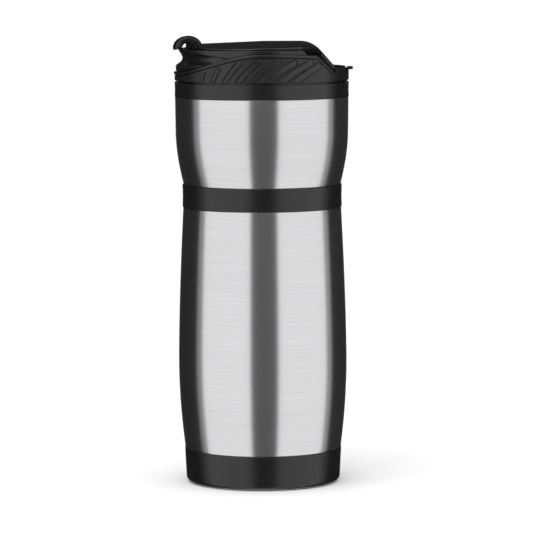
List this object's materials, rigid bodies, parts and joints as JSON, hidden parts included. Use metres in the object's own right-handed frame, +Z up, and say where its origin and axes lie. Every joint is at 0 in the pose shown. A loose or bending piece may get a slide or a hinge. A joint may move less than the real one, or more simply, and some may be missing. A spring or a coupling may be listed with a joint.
{
  "type": "insulated travel mug",
  "caption": "Double-wall steel travel mug with a narrow waist, black plastic bands, and a push-fit lid whose flip lever with a thumb hook closes the drinking hole.",
  "frame": {"origin": "centre of the underside of the foot pad, where the mug stands on the table", "axes": "+Z up along the mug's axis, -X towards the drinking side and the thumb hook, +X towards the lever's hinge"},
  "size_m": [0.0826, 0.08, 0.2056],
  "materials": {
    "foot_rubber": "matt",
    "body_plastic": "satin, fine moulded grain",
    "liner_foam": "matt",
    "liner_steel": "drawn steel, turned marks",
    "shell_steel": "brushed around the mug",
    "silicone": "matt",
    "lid_plastic": "satin",
    "cover_plastic": "satin with hatched wave grooves",
    "pin_steel": "drawn wire",
    "lever_plastic": "satin"
  },
  "bodies": {
    "mug": {"foot_pad": "foot_rubber", "base_cap": "body_plastic", "liner_support_pad": "liner_foam", "inner_liner": "liner_steel", "lower_shell": "shell_steel", "waist_band": "body_plastic", "upper_shell": "shell_steel", "top_collar": "body_plastic", "rim_seal": "silicone"},
    "seal": {"lid_gasket": "silicone"},
    "lid": {"lid_plug": "lid_plastic", "spout_body": "lid_plastic", "spout_seal": "silicone", "lid_cover": "cover_plastic", "hinge_pin": "pin_steel"},
    "lever": {"flip_lever": "lever_plastic", "drink_stopper": "silicone", "vent_stopper": "silicone"}
  },
  "joints": [
    {"name": "lid_lift", "type": "slide", "parent": "mug", "child": "seal", "axis": [0, 0, 1], "range_m": [0, 0.06]},
    {"name": "lid_turn", "type": "hinge", "parent": "seal", "child": "lid", "pos_m": [0, 0, 0.178], "axis": [0, 0, 1], "continuous": true},
    {"name": "lever_open", "type": "hinge", "parent": "lid", "child": "lever", "pos_m": [0.0333, 0, 0.1891], "axis": [0, 1, 0], "range_deg": [0, 96]}
  ]
}
